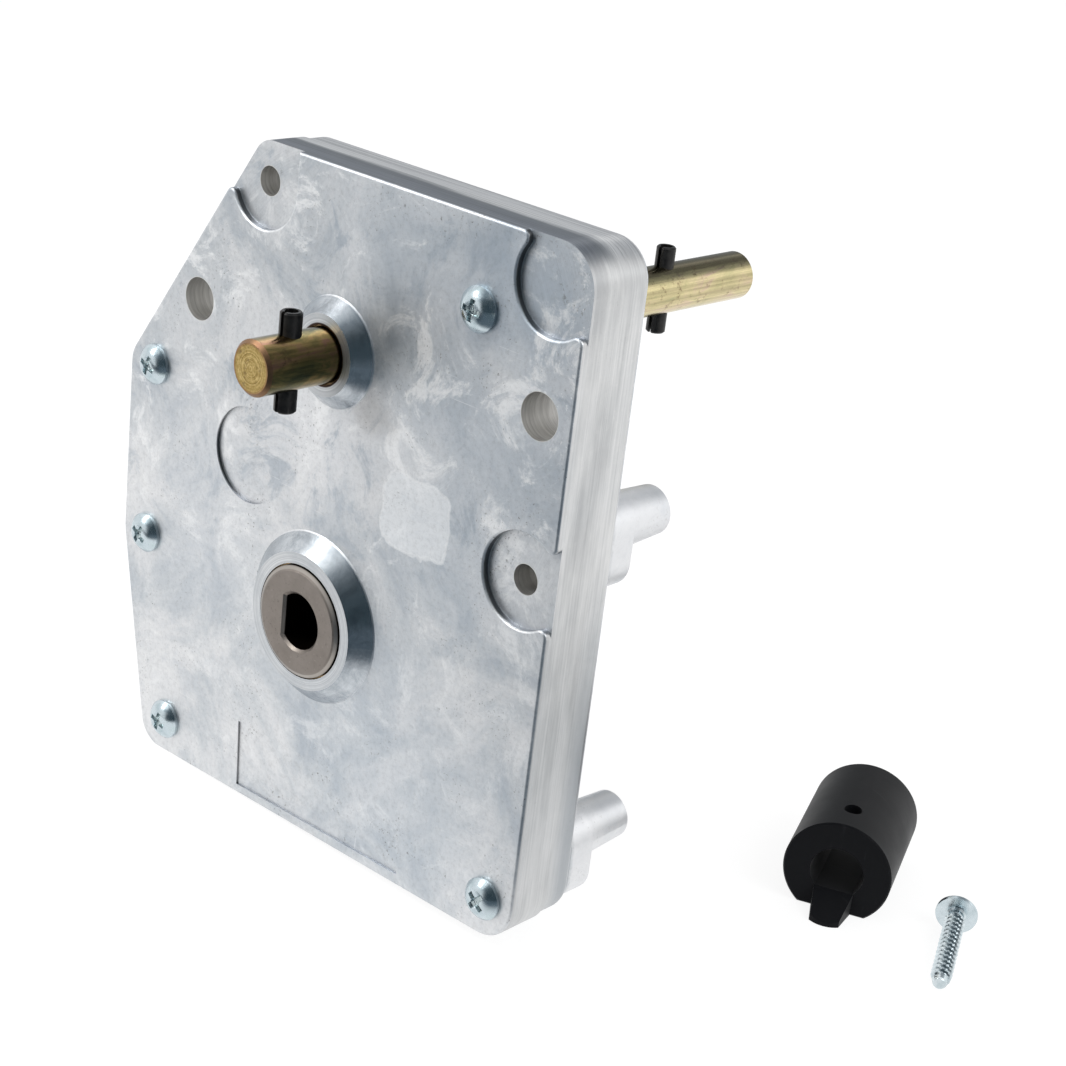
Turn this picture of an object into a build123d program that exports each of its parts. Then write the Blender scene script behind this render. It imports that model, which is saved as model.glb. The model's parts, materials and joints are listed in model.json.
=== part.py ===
from build123d import *
import os
from math import acos, atan2, cos, degrees, hypot, isclose, pi, radians, sin, sqrt, tan

# Trailer landing gear gearbox: a die-cast housing in two halves, a D-bore input hub, a compound idler and a
# cross-pinned through shaft, with a loose adapter sleeve and its screw beside it.
# Millimetres. The origin is on the through shaft's axis in the cover's front plane.
# +X runs to the right across the cover, +Y from the cover to the back, +Z up.

# How far a cutting shape runs past the face that it opens
overrun = 1.0

# Housing outline, as corners of the cover before they are rounded
right_x = 88.0
left_x = -90.0
top_z = 51.3
bottom_left_z = -153.7
bottom_right_z = -147.6
slope_top_x = -37.8
slope_foot_z = -26.0
taper_top_z = -84.0
taper_foot_x = -75.5
top_right_round = 12.0
bottom_right_round = 12.5
bottom_left_round = 9.0
taper_round = 20.0
slope_foot_round = 9.0
slope_top_round = 8.0

# Housing section
front_shell_depth = 14.4
gasket_thickness = 0.4
rear_shell_depth = 10.6
front_wall = 4.5
rear_wall = 4.0
side_wall = 5.0
rear_shell_inset = 0.6
gasket_inset = 0.5
front_edge_round = 0.8
rear_edge_round = 3.2
boss_root = 1.0

# Recessed lands and blank recesses of the cover
land_radius = 13.5
land_depth = 2.2
land_point_round = 2.2
land_left_x = -33.8
land_right_x = 76.9
land_half_pitch = 39.9
pocket_radius = 14.6
pocket_depth = 1.0
panel_width = 72.0
panel_height = 21.2
panel_x = 6.7
panel_z = -136.6
panel_depth = 0.6
panel_slope = 0.4
panel_tilt = 2.6

# Through holes for bolting the housing to the leg
small_hole_radius = 4.25
small_hole_wall = 3.8
large_hole_radius = 6.4
large_hole_wall = 3.6
large_left_hole = (-59.0, -1.0)
large_right_hole = (76.9, 5.8)

# Cover screws
screw_places = [(-77.7, -26.7), (52.8, 27.4), (-78.3, -82.1), (-64.4, -141.7), (77.6, -136.0)]
screw_web_angles = [180, 28, 180, 250, 315]
screw_column_radius = 6.5
screw_clearance_radius = 3.5
screw_shank_radius = 3.1
screw_length = 20.0
screw_head_radius = 6.2
screw_head_rim = 1.1
screw_head_height = 3.7
screw_shoulder = 0.83
screw_crown = 0.45
screw_tip = 0.8

# Locating dowels
dowel_places = [(-81.5, -55.0), (80.0, -92.0)]
dowel_radius = 2.5
dowel_length = 9.0
dowel_column_radius = 5.5

# Rear lugs and the tapered posts that stand on them
lug_radius = 8.5
lug_height = 9.1
post_rise = 9.5
post_foot_radius = 8.5
post_tip_radius = 7.1
post_chamfer = 0.9
post_height = 26.7

# Gears: a motor pinion drives the idler gear, and the idler's own pinion drives the output gear
shaft_spacing = 80.6
pressure_angle = 25.0
input_teeth = 18
idler_gear_teeth = 36
input_module = 1.9
idler_pinion_teeth = 13
output_teeth = 40
output_module = 2.0
tooth_thinning = 0.09
tooth_root_clearance = 0.25
output_tooth_angle = 90.0
input_gear_width = 6.4
output_gear_width = 7.9
gear_plane_gap = 0.8
web_recess = 1.5
web_rim = 3.2
web_holes = 6
web_hole_share = 0.64

# Running gaps and washers
washer_thickness = 0.8
end_play = 0.1
washer_clearance = 0.2
running_clearance = 0.04
lip_clearance = 0.5
lip_length = 2.2

# Through shaft
shaft_radius = 7.9375
shaft_front_length = 29.9
shaft_rear_end = 180.3
shaft_chamfer = 1.0
shaft_boss_base_radius = 16.1
shaft_boss_top_radius = 11.7
shaft_boss_height = 4.9
shaft_bush_wall = 2.2
ring_thickness = 1.1
ring_groove_depth = 0.6
ring_width = 3.4
ring_gap = 5.0
output_hub_radius = 15.0
key_width = 4.76
key_length = 9.0
key_clearance = 0.02

# Slotted pins through the shaft
pin_radius = 3.175
pin_wall = 1.2
pin_length = 28.6
pin_slot = 1.1
pin_chamfer = 0.5
front_pin_inset = 13.1
rear_pin_inset = 39.4

# Input hub
hub_radius = 16.8
hub_front = 6.5
hub_edge_step = 0.8
hub_middle_radius = 15.6
hub_tail_radius = 13.0
hub_tail_length = 7.2
socket_radius = 8.4
socket_flat = 5.7
socket_end_wall = 4.0
socket_chamfer = 0.8
hub_boss_base_radius = 26.0
hub_boss_top_radius = 20.7
hub_boss_height = 5.4
hub_bush_wall = 1.7
tail_boss_base_radius = 21.0
tail_boss_top_radius = 18.0
tail_boss_height = 5.4
tail_bush_wall = 2.0
hub_washer_radius = 20.8

# Idler
axle_radius = 6.0
axle_front_seat = 2.3
axle_rear_seat = 2.8
idler_bush_wall = 1.6
idler_stub_radius = 10.2
idler_stub_flat = 9.2
idler_hub_wall = 5.2
idler_washer_radius = 11.0

# Loose adapter sleeve, lying on its flat beside the gearbox
sleeve_radius = 16.4
sleeve_length = 42.7
sleeve_bore_radius = 8.1
sleeve_bore_flat = 5.7
sleeve_foot = 12.8
sleeve_edge_chamfer = 0.5
sleeve_hole_radius = 2.75
sleeve_hole_from_face = 11.0
tongue_length = 10.0
tongue_root = 2.0
tongue_tip_bulge = 1.5
tongue_root_width = 12.6
tongue_tip_width = 9.0
tongue_tip_thickness = 1.2
sleeve_place = (127.1, 100.9)
sleeve_heading = 113.2

# Loose adapter screw, resting on its head's rim and its tip
adapter_screw_length = 34.2
adapter_head_radius = 6.25
adapter_screw_place = (157.9, 121.0)
adapter_screw_heading = 295.5

# Places that follow from the sizes above
front_inner_y = front_wall
joint_front_y = front_shell_depth
joint_rear_y = front_shell_depth + gasket_thickness
back_y = joint_rear_y + rear_shell_depth
rear_inner_y = back_y - rear_wall
front_washer_y = front_inner_y + washer_thickness
rear_washer_y = rear_inner_y - washer_thickness
lug_face_y = back_y + lug_height
post_end_y = back_y + post_height
small_left_hole = (land_left_x, land_half_pitch)
small_right_hole = (land_right_x, -land_half_pitch)
corner_land = (land_right_x, land_half_pitch)
input_gear_y = front_washer_y + end_play
input_gear_end_y = input_gear_y + input_gear_width
output_gear_y = input_gear_end_y + gear_plane_gap
output_gear_end_y = output_gear_y + output_gear_width
gear_hub_y = front_washer_y + ring_thickness + end_play
gear_hub_end_y = rear_washer_y - ring_thickness - end_play
output_centres = output_module * (idler_pinion_teeth + output_teeth) / 2
input_centres = input_module * (input_teeth + idler_gear_teeth) / 2
idler_z = -(output_centres ** 2 - input_centres ** 2 + shaft_spacing ** 2) / (2 * shaft_spacing)
idler_x = -sqrt(output_centres ** 2 - idler_z ** 2)
hub_z = -shaft_spacing
tail_end_y = rear_inner_y + hub_tail_length
shaft_bush_radius = shaft_radius + running_clearance + shaft_bush_wall
hub_bush_radius = hub_radius + running_clearance + hub_bush_wall
tail_bush_radius = hub_tail_radius + running_clearance + tail_bush_wall
front_pin_y = front_pin_inset - shaft_front_length
rear_pin_y = shaft_rear_end - rear_pin_inset


def on_cover(sketch, start_y, end_y):
    """A sketch drawn in X and Z, made solid from start_y to end_y."""
    plane = Plane(origin=(0, end_y, 0), x_dir=(1, 0, 0), z_dir=(0, -1, 0))
    return extrude(plane * sketch, amount=end_y - start_y)


def turned(profile, x=0.0, z=0.0):
    """A closed profile of (radius, y) points, turned about an axis along Y through x and z."""
    face = make_face(Polyline(*profile, close=True))
    return Pos(x, 0, z) * revolve(face, axis=Axis.Y)


def ring(inner, outer, start_y, end_y, x=0.0, z=0.0):
    """A plain washer or bush."""
    return turned([(inner, start_y), (outer, start_y), (outer, end_y), (inner, end_y)], x, z)


def rod(radius, start_y, end_y, x=0.0, z=0.0):
    """A plain round bar or hole along Y."""
    return turned([(0, start_y), (radius, start_y), (radius, end_y), (0, end_y)], x, z)


def boss(base_radius, top_radius, base_y, top_y, x=0.0, z=0.0):
    """A conical boss on a face at base_y that ends at top_y, rooted a little inside the wall."""
    root_y = base_y + (boss_root if top_y < base_y else -boss_root)
    profile = [(0, root_y), (base_radius, root_y), (base_radius, base_y), (top_radius, top_y), (0, top_y)]
    return turned(profile, x, z)


def outline():
    """The cover's outline, seen from the front, with its rounded corners."""
    corners = [
        (right_x, top_z),
        (right_x, bottom_right_z),
        (taper_foot_x, bottom_left_z),
        (left_x, taper_top_z),
        (left_x, slope_foot_z),
        (slope_top_x, top_z),
    ]
    rounds = [
        top_right_round,
        bottom_right_round,
        bottom_left_round,
        taper_round,
        slope_foot_round,
        slope_top_round,
    ]
    return make_face(FilletPolyline(*corners, radius=rounds, close=True))


def table_z():
    """The level that the housing and the loose pieces stand on."""
    return outline().bounding_box().min.Y


def column(place, radius, web_angle=None):
    """A round column of the casting, with a web to the side wall where an angle is given."""
    shape = Circle(radius)
    if web_angle is not None:
        reach = 3 * radius
        shape += Rot(0, 0, web_angle) * Pos(reach / 2, 0) * Rectangle(reach, 2 * radius)
    return Pos(*place) * shape


def columns():
    """Every column inside the side wall, as one sketch."""
    small_column = small_hole_radius + small_hole_wall
    large_column = large_hole_radius + large_hole_wall
    screws = zip(screw_places, screw_web_angles)
    shapes = [column(place, screw_column_radius, angle) for place, angle in screws]
    shapes += [column(place, dowel_column_radius, 180 if place[0] < 0 else 0) for place in dowel_places]
    shapes += [column(place, small_column) for place in (small_left_hole, small_right_hole)]
    shapes += [column(place, large_column) for place in (large_left_hole, large_right_hole)]
    shapes.append(column(corner_land, land_radius, 45))
    return Sketch() + shapes


def chamber():
    """The room for the gears, inside the side wall and round the columns."""
    return offset(outline(), amount=-side_wall) - columns()


def raised_plate():
    """The cover's outline without its recessed lands, with rounded points where a land meets the edge."""
    plate = outline()
    for x, z in (small_left_hole, corner_land, small_right_hole):
        plate -= Pos(x, z) * Circle(land_radius)
        points = [end for end in plate.vertices() if isclose(hypot(end.X - x, end.Y - z), land_radius)]
        plate = fillet(points, land_point_round)
    above = Pos(land_left_x, land_half_pitch + land_radius) * Rectangle(2 * land_radius, 2 * land_radius)
    return plate - above


def through_holes(start_y, end_y):
    """The four bolt holes that pass through both halves."""
    holes = [rod(small_hole_radius, start_y, end_y, *place) for place in (small_left_hole, small_right_hole)]
    holes += [rod(large_hole_radius, start_y, end_y, *place) for place in (large_left_hole, large_right_hole)]
    return holes


def screw_holes(radius, start_y, end_y):
    """The holes of the cover screws."""
    return [rod(radius, start_y, end_y, *place) for place in screw_places]


def dowels():
    """The two dowels, half in each shell, which also give the shape of their holes."""
    middle_y = (joint_front_y + joint_rear_y) / 2
    start_y = middle_y - dowel_length / 2
    return [rod(dowel_radius, start_y, start_y + dowel_length, *place) for place in dowel_places]


def front_shell():
    """The front half: cover, side wall, bosses, lands and blank recesses."""
    body = on_cover(raised_plate(), 0, land_depth)
    body = fillet(body.faces().sort_by(Axis.Y)[0].edges(), front_edge_round)
    body += on_cover(outline(), land_depth, joint_front_y)
    body += boss(shaft_boss_base_radius, shaft_boss_top_radius, 0, -shaft_boss_height)
    body += boss(hub_boss_base_radius, hub_boss_top_radius, 0, -hub_boss_height, 0, hub_z)
    body -= on_cover(chamber(), front_inner_y, joint_front_y + overrun)
    body -= rod(pocket_radius, -overrun, pocket_depth, idler_x, idler_z)
    panel_place = Pos(panel_x, panel_z) * Rot(0, 0, panel_tilt)
    panel = panel_place * Rectangle(panel_width, panel_height)
    rim = panel_place * Rectangle(panel_width, panel_height + panel_slope)
    body -= loft([on_plane(rim, 0), on_plane(panel, panel_depth)])
    body -= through_holes(-overrun, joint_front_y + overrun)
    body -= screw_holes(screw_clearance_radius, -overrun, joint_front_y + overrun)
    body -= dowels()
    inside_y = front_inner_y + overrun
    body -= rod(shaft_radius + lip_clearance, -shaft_boss_height - overrun, inside_y)
    body -= rod(shaft_bush_radius, lip_length - shaft_boss_height, inside_y)
    body -= rod(hub_radius + lip_clearance, -hub_boss_height - overrun, inside_y, 0, hub_z)
    body -= rod(hub_bush_radius, lip_length - hub_boss_height, inside_y, 0, hub_z)
    return body - rod(axle_radius, front_inner_y - axle_front_seat, inside_y, idler_x, idler_z)


def rear_shell():
    """The back half, with the rear bosses, the lugs and the tapered posts."""
    body = on_cover(offset(outline(), amount=-rear_shell_inset), joint_rear_y, back_y)
    body = fillet(body.faces().sort_by(Axis.Y)[-1].edges(), rear_edge_round)
    body += boss(shaft_boss_base_radius, shaft_boss_top_radius, back_y, back_y + shaft_boss_height)
    body += boss(tail_boss_base_radius, tail_boss_top_radius, back_y, back_y + tail_boss_height, 0, hub_z)
    for x, z in (small_right_hole, screw_places[-1]):
        lug = Pos(x, z + post_rise / 2) * SlotCenterToCenter(post_rise, 2 * lug_radius, rotation=90)
        body += on_cover(lug, back_y - overrun, lug_face_y)
        post = [(0, back_y), (post_foot_radius, back_y), (post_tip_radius, post_end_y - post_chamfer)]
        post += [(post_tip_radius - post_chamfer, post_end_y), (0, post_end_y)]
        body += turned(post, x, z + post_rise)
    body -= on_cover(chamber(), joint_rear_y - overrun, rear_inner_y)
    body -= through_holes(joint_rear_y - overrun, lug_face_y + overrun)
    body -= screw_holes(screw_shank_radius, joint_rear_y - overrun, screw_length + overrun)
    body -= dowels()
    rear_boss_y = back_y + shaft_boss_height
    inside_y = rear_inner_y - overrun
    body -= rod(shaft_radius + lip_clearance, inside_y, rear_boss_y + overrun)
    body -= rod(shaft_bush_radius, inside_y, rear_boss_y - lip_length)
    body -= rod(tail_bush_radius, inside_y, tail_end_y + end_play, 0, hub_z)
    return body - rod(axle_radius, inside_y, rear_inner_y + axle_rear_seat, idler_x, idler_z)


def shell_gasket():
    """The thin gasket between the halves, cut as the joint face is."""
    sheet = offset(outline(), amount=-gasket_inset) - chamber()
    body = on_cover(sheet, joint_front_y, joint_rear_y)
    body -= through_holes(joint_front_y - overrun, joint_rear_y + overrun)
    body -= screw_holes(screw_clearance_radius, joint_front_y - overrun, joint_rear_y + overrun)
    body -= dowels()
    return body


def pan_head_screw(head_radius, length):
    """A pan-head screw along Y, its head's underside at y = 0 and its shank towards +Y."""
    shoulder = (screw_shoulder * head_radius, -screw_shoulder * screw_head_height)
    profile = [(0, -screw_head_height), (screw_crown * head_radius, -screw_head_height), shoulder]
    profile += [(head_radius, -screw_head_rim), (head_radius, 0)]
    profile += [(screw_shank_radius, 0), (screw_shank_radius, length - screw_tip)]
    profile += [(screw_shank_radius - screw_tip, length), (0, length)]
    return turned(profile)


def cover_screws():
    """The five screws that close the housing."""
    return [Pos(x, 0, z) * pan_head_screw(screw_head_radius, screw_length) for x, z in screw_places]


def on_circle(radius, angle):
    return (radius * cos(angle), radius * sin(angle))


def circle_arc(radius, start, end):
    middle = (start + end) / 2
    return ThreePointArc(on_circle(radius, start), on_circle(radius, middle), on_circle(radius, end))


def gear_outline(teeth, module, first_tooth):
    """A spur gear's outline with involute flanks; first_tooth is the angle of one tooth's middle."""
    pitch_radius = module * teeth / 2
    base_radius = pitch_radius * cos(radians(pressure_angle))
    tip_radius = pitch_radius + module
    root_radius = pitch_radius - (1 + tooth_root_clearance) * module
    start_radius = max(root_radius, base_radius)
    middle_radius = (start_radius + tip_radius) / 2

    def involute(radius):
        angle = acos(min(1.0, base_radius / radius))
        return tan(angle) - angle

    def half_width(radius):
        at_pitch = pi / (2 * teeth) - tooth_thinning / pitch_radius
        return at_pitch + involute(pitch_radius) - involute(radius)

    edges = []
    pitch = 2 * pi / teeth
    for tooth in range(teeth):
        middle = first_tooth + tooth * pitch
        foot = half_width(start_radius)
        for side in (-1, 1):
            low = on_circle(start_radius, middle + side * foot)
            mid = on_circle(middle_radius, middle + side * half_width(middle_radius))
            high = on_circle(tip_radius, middle + side * half_width(tip_radius))
            edges.append(ThreePointArc(low, mid, high))
            if root_radius < base_radius:
                edges.append(Line(on_circle(root_radius, middle + side * foot), low))
        land = half_width(tip_radius)
        edges.append(circle_arc(tip_radius, middle - land, middle + land))
        edges.append(circle_arc(root_radius, middle + foot, middle + pitch - foot))
    return make_face(edges)


def meshing_tooth(teeth, tooth, other_teeth, towards_other):
    """The angle of a tooth of the other gear, so that it meets a gear with a tooth at the angle tooth."""
    along = teeth * (tooth - towards_other) / (2 * pi) + 0.5
    return towards_other + pi - 2 * pi * along / other_teeth


def tooth_angles():
    """One tooth angle for each gear, all in mesh at rest."""
    output_tooth = radians(output_tooth_angle)
    pinion_tooth = meshing_tooth(output_teeth, output_tooth, idler_pinion_teeth, atan2(idler_z, idler_x))
    gear_tooth = pinion_tooth
    towards_hub = atan2(hub_z - idler_z, -idler_x)
    input_tooth = meshing_tooth(idler_gear_teeth, gear_tooth, input_teeth, towards_hub)
    return output_tooth, pinion_tooth, gear_tooth, input_tooth


def web_ring(inner, outer, depth, start_y, end_y, x=0.0, z=0.0):
    """The two shallow recesses that lighten a gear's web."""
    front = ring(inner, outer, start_y - overrun, start_y + depth, x, z)
    return front + ring(inner, outer, end_y - depth, end_y + overrun, x, z)


def key_box(length, top_clearance=0.0):
    """The block of the parallel key, half in the shaft's top and half in the gear's hub."""
    middle_y = (gear_hub_y + gear_hub_end_y) / 2
    height = key_width + top_clearance
    return Pos(0, middle_y, shaft_radius + top_clearance / 2) * Box(key_width, length, height)


def output_gear():
    """The large gear on the through shaft, with its hub, recessed web and keyway."""
    tooth = tooth_angles()[0]
    root_radius = output_module * (output_teeth / 2 - 1 - tooth_root_clearance)
    body = on_cover(gear_outline(output_teeth, output_module, tooth), output_gear_y, output_gear_end_y)
    rim_inner = root_radius - web_rim
    body -= web_ring(output_hub_radius, rim_inner, web_recess, output_gear_y, output_gear_end_y)
    body += rod(output_hub_radius, gear_hub_y, output_gear_end_y)
    body -= rod(output_hub_radius, gear_hub_end_y, output_gear_end_y + overrun)
    body -= rod(shaft_radius, gear_hub_y - overrun, output_gear_end_y + overrun)
    body -= key_box(2 * (gear_hub_end_y - gear_hub_y), key_clearance)
    hole_circle = (output_hub_radius + rim_inner) / 2
    hole_radius = web_hole_share * (rim_inner - output_hub_radius) / 2
    pitch = 2 * pi / web_holes
    for step in range(web_holes):
        x, z = on_circle(hole_circle, (step + 0.5) * pitch)
        body -= rod(hole_radius, output_gear_y - overrun, output_gear_end_y + overrun, x, z)
    return body


def output_shaft():
    """The through shaft with its chamfered ends, ring grooves, key seat and cross holes."""
    groove_radius = shaft_radius - ring_groove_depth
    tip = shaft_radius - shaft_chamfer
    profile = [(0, -shaft_front_length), (tip, -shaft_front_length)]
    profile.append((shaft_radius, shaft_chamfer - shaft_front_length))
    for start_y in (gear_hub_y - ring_thickness, gear_hub_end_y):
        profile += [(shaft_radius, start_y), (groove_radius, start_y)]
        profile += [(groove_radius, start_y + ring_thickness), (shaft_radius, start_y + ring_thickness)]
    profile += [(shaft_radius, shaft_rear_end - shaft_chamfer), (tip, shaft_rear_end), (0, shaft_rear_end)]
    body = turned(profile)
    body -= key_box(key_length)
    for pin_y in (front_pin_y, rear_pin_y):
        body -= Pos(0, pin_y, 0) * Cylinder(pin_radius, 4 * shaft_radius)
    return body


def roll_pin(pin_y):
    """A slotted spring pin across the shaft, its slot towards the shaft's front end."""
    half = pin_length / 2
    outer = [(pin_radius - pin_chamfer, -half), (pin_radius, pin_chamfer - half)]
    outer += [(pin_radius, half - pin_chamfer), (pin_radius - pin_chamfer, half)]
    inner = pin_radius - pin_wall
    face = make_face(Plane.XZ * Polyline((inner, -half), *outer, (inner, half), close=True))
    tube = revolve(face, axis=Axis.Z)
    tube -= Pos(0, -pin_radius, 0) * Box(pin_slot, 2 * pin_radius, 2 * pin_length)
    return Pos(0, pin_y, 0) * tube


def retaining_ring(start_y):
    """An open spring ring that sits in the shaft's groove."""
    inner = shaft_radius - ring_groove_depth
    shape = Circle(inner + ring_width) - Circle(inner)
    shape -= Pos(0, -inner - ring_width / 2) * Rectangle(ring_gap, 2 * ring_width)
    return on_cover(shape, start_y, start_y + ring_thickness)


def input_hub():
    """The sintered hub: stepped front face, D-bore, pinion teeth, middle collar and tail."""
    tooth = tooth_angles()[3]
    edge = hub_radius - hub_edge_step
    profile = [(0, -hub_front), (edge - hub_edge_step, -hub_front), (edge, -hub_front + hub_edge_step / 2)]
    profile += [(hub_radius, -hub_front + hub_edge_step), (hub_radius, input_gear_y)]
    profile += [(hub_tail_radius, input_gear_y), (hub_tail_radius, tail_end_y), (0, tail_end_y)]
    body = turned(profile, 0, hub_z)
    pinion = Pos(0, hub_z) * gear_outline(input_teeth, input_module, tooth)
    body += on_cover(pinion, input_gear_y, input_gear_end_y)
    body += rod(hub_middle_radius, input_gear_end_y, rear_washer_y - end_play, 0, hub_z)
    body -= on_cover(Pos(0, hub_z) * socket_outline(0.0), -hub_front - overrun, tail_end_y - socket_end_wall)
    mouth = loft(
        [
            on_plane(Pos(0, hub_z) * socket_outline(socket_chamfer), -hub_front),
            on_plane(Pos(0, hub_z) * socket_outline(0.0), -hub_front + socket_chamfer),
        ]
    )
    return body - mouth


def on_plane(sketch, at_y):
    """A sketch drawn in X and Z, laid at one depth."""
    return Plane(origin=(0, at_y, 0), x_dir=(1, 0, 0), z_dir=(0, -1, 0)) * sketch


def socket_outline(margin):
    """The D of the input socket, its flat towards -X."""
    flat = socket_flat + margin
    shape = Circle(socket_radius + margin)
    return shape - Pos(-flat - socket_radius, 0) * Rectangle(2 * socket_radius, 4 * socket_radius)


def idler_stub(margin):
    """The pinion's stub with two flats, which turns the idler gear."""
    radius = idler_stub_radius + margin
    return Circle(radius) & Rectangle(2 * radius, 2 * (idler_stub_flat + margin))


def idler_pinion():
    """The small driving pinion with its flatted stub."""
    tooth = tooth_angles()[1]
    shape = Pos(idler_x, idler_z) * gear_outline(idler_pinion_teeth, output_module, tooth)
    body = on_cover(shape, input_gear_end_y, output_gear_end_y)
    body += on_cover(Pos(idler_x, idler_z) * idler_stub(0.0), input_gear_y, input_gear_end_y)
    bore = axle_radius + running_clearance + idler_bush_wall
    return body - rod(bore, input_gear_y - overrun, output_gear_end_y + overrun, idler_x, idler_z)


def idler_gear():
    """The large idler gear, carried on the pinion's stub."""
    tooth = tooth_angles()[2]
    shape = gear_outline(idler_gear_teeth, input_module, tooth) - idler_stub(0.0)
    body = on_cover(Pos(idler_x, idler_z) * shape, input_gear_y, input_gear_end_y)
    root_radius = input_module * (idler_gear_teeth / 2 - 1 - tooth_root_clearance)
    inner = idler_stub_radius + idler_hub_wall
    return body - web_ring(
        inner, root_radius - web_rim, web_recess, input_gear_y, input_gear_end_y, idler_x, idler_z
    )


def adapter_sleeve():
    """The loose sleeve: D-bored, flat on its foot, with a tongue in front and a screw hole on top."""
    section = Circle(sleeve_radius)
    section -= Pos(0, -sleeve_foot - sleeve_radius) * Rectangle(4 * sleeve_radius, 2 * sleeve_radius)
    body = on_cover(section, 0, sleeve_length)
    rims = body.faces().filter_by(Axis.Y).edges()
    body = chamfer(rims, sleeve_edge_chamfer)
    bore = Circle(sleeve_bore_radius)
    below_flat = Rectangle(4 * sleeve_bore_radius, 2 * sleeve_bore_radius)
    bore -= Pos(0, -sleeve_bore_flat - sleeve_bore_radius) * below_flat
    body -= on_cover(bore, -overrun, sleeve_length + overrun)
    body -= Pos(0, sleeve_hole_from_face, sleeve_radius / 2) * Cylinder(sleeve_hole_radius, sleeve_radius)
    root_y = tongue_root
    side = [(root_y, -sleeve_foot), (root_y, -sleeve_bore_flat), (0, -sleeve_bore_flat)]
    side += [(-tongue_length, tongue_tip_thickness - sleeve_foot), (-tongue_length, -sleeve_foot)]
    ramp = extrude(Plane.YZ * make_face(Polyline(*side, close=True)), amount=tongue_root_width, both=True)
    tip_y = -tongue_length
    half_root = tongue_root_width / 2
    half_tip = tongue_tip_width / 2
    bulge_y = tip_y + tongue_tip_bulge
    plan = make_face(
        [
            Line((-half_root, root_y), (half_root, root_y)),
            Line((half_root, root_y), (half_tip, bulge_y)),
            ThreePointArc((half_tip, bulge_y), (0, tip_y), (-half_tip, bulge_y)),
            Line((-half_tip, bulge_y), (-half_root, root_y)),
        ]
    )
    body += ramp & Pos(0, 0, -sleeve_foot) * extrude(plan, amount=sleeve_foot)
    x, y = sleeve_place
    return Pos(x, y, table_z() + sleeve_foot) * Rot(0, 0, sleeve_heading - 90) * body


def adapter_screw():
    """The loose screw, tipped so that its head's rim and its tip both rest."""
    tilt = atan2(adapter_head_radius - screw_shank_radius, adapter_screw_length)
    x, y = adapter_screw_place
    place = Pos(x, y, table_z() + adapter_head_radius * cos(tilt))
    turn = Rot(0, 0, adapter_screw_heading - 90) * Rot(-degrees(tilt), 0, 0)
    return place * turn * pan_head_screw(adapter_head_radius, adapter_screw_length)


def write(name, shape):
    """One STEP file for one named piece or group of like pieces."""
    solids = shape if isinstance(shape, list) else shape.solids()
    export_step(Compound(children=list(solids)) if len(solids) > 1 else solids[0], f"parts/{name}.step")


def write_shaft_bearings():
    """The bushes and thrust washers of the through shaft."""
    inner = shaft_radius + running_clearance
    outer = shaft_bush_radius
    washer = shaft_radius + washer_clearance
    write("front_shaft_bush", ring(inner, outer, lip_length - shaft_boss_height, front_inner_y))
    write("rear_shaft_bush", ring(inner, outer, rear_inner_y, back_y + shaft_boss_height - lip_length))
    write("front_thrust_washer", ring(washer, output_hub_radius, front_inner_y, front_washer_y))
    write("rear_thrust_washer", ring(washer, output_hub_radius, rear_washer_y, rear_inner_y))


def write_hub_bearings():
    """The bushes and washers of the input hub."""
    front = hub_radius + running_clearance
    rear = hub_tail_radius + running_clearance
    front_hole = hub_radius + washer_clearance
    rear_hole = hub_tail_radius + washer_clearance
    lip_y = lip_length - hub_boss_height
    write("input_front_bush", ring(front, hub_bush_radius, lip_y, front_inner_y, 0, hub_z))
    write("input_rear_bush", ring(rear, tail_bush_radius, rear_inner_y, tail_end_y, 0, hub_z))
    write("input_front_washer", ring(front_hole, hub_washer_radius, front_inner_y, front_washer_y, 0, hub_z))
    write("input_rear_washer", ring(rear_hole, hub_middle_radius, rear_washer_y, rear_inner_y, 0, hub_z))


def write_idler_bearings():
    """The fixed axle of the idler, its bush and its washers."""
    at = (idler_x, idler_z)
    inner = axle_radius + running_clearance
    washer = axle_radius + washer_clearance
    write("idler_axle", rod(axle_radius, front_inner_y - axle_front_seat, rear_inner_y + axle_rear_seat, *at))
    write("idler_bush", ring(inner, inner + idler_bush_wall, input_gear_y, output_gear_end_y, *at))
    write("idler_front_washer", ring(washer, idler_washer_radius, front_inner_y, front_washer_y, *at))
    write("idler_rear_washer", ring(washer, idler_washer_radius, rear_washer_y, rear_inner_y, *at))


def main():
    os.makedirs("parts", exist_ok=True)
    write("front_shell", front_shell())
    write("rear_shell", rear_shell())
    write("shell_gasket", shell_gasket())
    write("cover_screws", cover_screws())
    write("locating_dowels", dowels())
    write("output_shaft", output_shaft())
    write("front_roll_pin", roll_pin(front_pin_y))
    write("rear_roll_pin", roll_pin(rear_pin_y))
    write("output_gear", output_gear())
    write("output_gear_key", key_box(key_length))
    write("front_retaining_ring", retaining_ring(gear_hub_y - ring_thickness))
    write("rear_retaining_ring", retaining_ring(gear_hub_end_y))
    write_shaft_bearings()
    write("input_hub", input_hub())
    write_hub_bearings()
    write("idler_gear", idler_gear())
    write("idler_pinion", idler_pinion())
    write_idler_bearings()
    write("adapter_sleeve", adapter_sleeve())
    write("adapter_screw", adapter_screw())


main()
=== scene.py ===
import json
from math import atan2, cos, hypot, pi, radians, sin

import bpy
from mathutils import Euler, Matrix, Vector


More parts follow.
